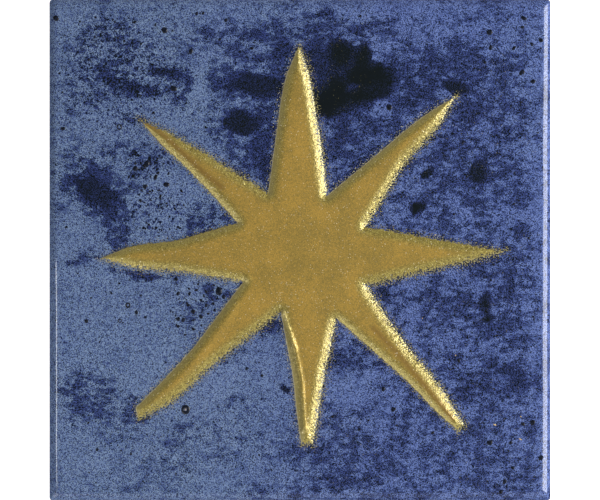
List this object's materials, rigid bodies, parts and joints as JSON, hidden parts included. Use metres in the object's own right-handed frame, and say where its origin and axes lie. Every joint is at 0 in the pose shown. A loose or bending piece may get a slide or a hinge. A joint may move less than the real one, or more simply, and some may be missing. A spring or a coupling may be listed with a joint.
{
  "type": "decorative wall tile",
  "caption": "Square glazed ceramic wall tile, blue, with a rounded face edge, a grooved back and a gold eight-pointed star in low relief on its face.",
  "frame": {"origin": "middle of the back, in the plane of the back's lands", "axes": "+Z out of the face, +X to the right and +Y up as the tile hangs on a wall; it is stored lying on its back"},
  "size_m": [0.1, 0.1, 0.0084],
  "materials": {
    "glazed_body": "glossy blue glaze on fired clay, the star in satin fired gold"
  },
  "bodies": {
    "root": {"tile": "glazed_body"}
  },
  "joints": []
}
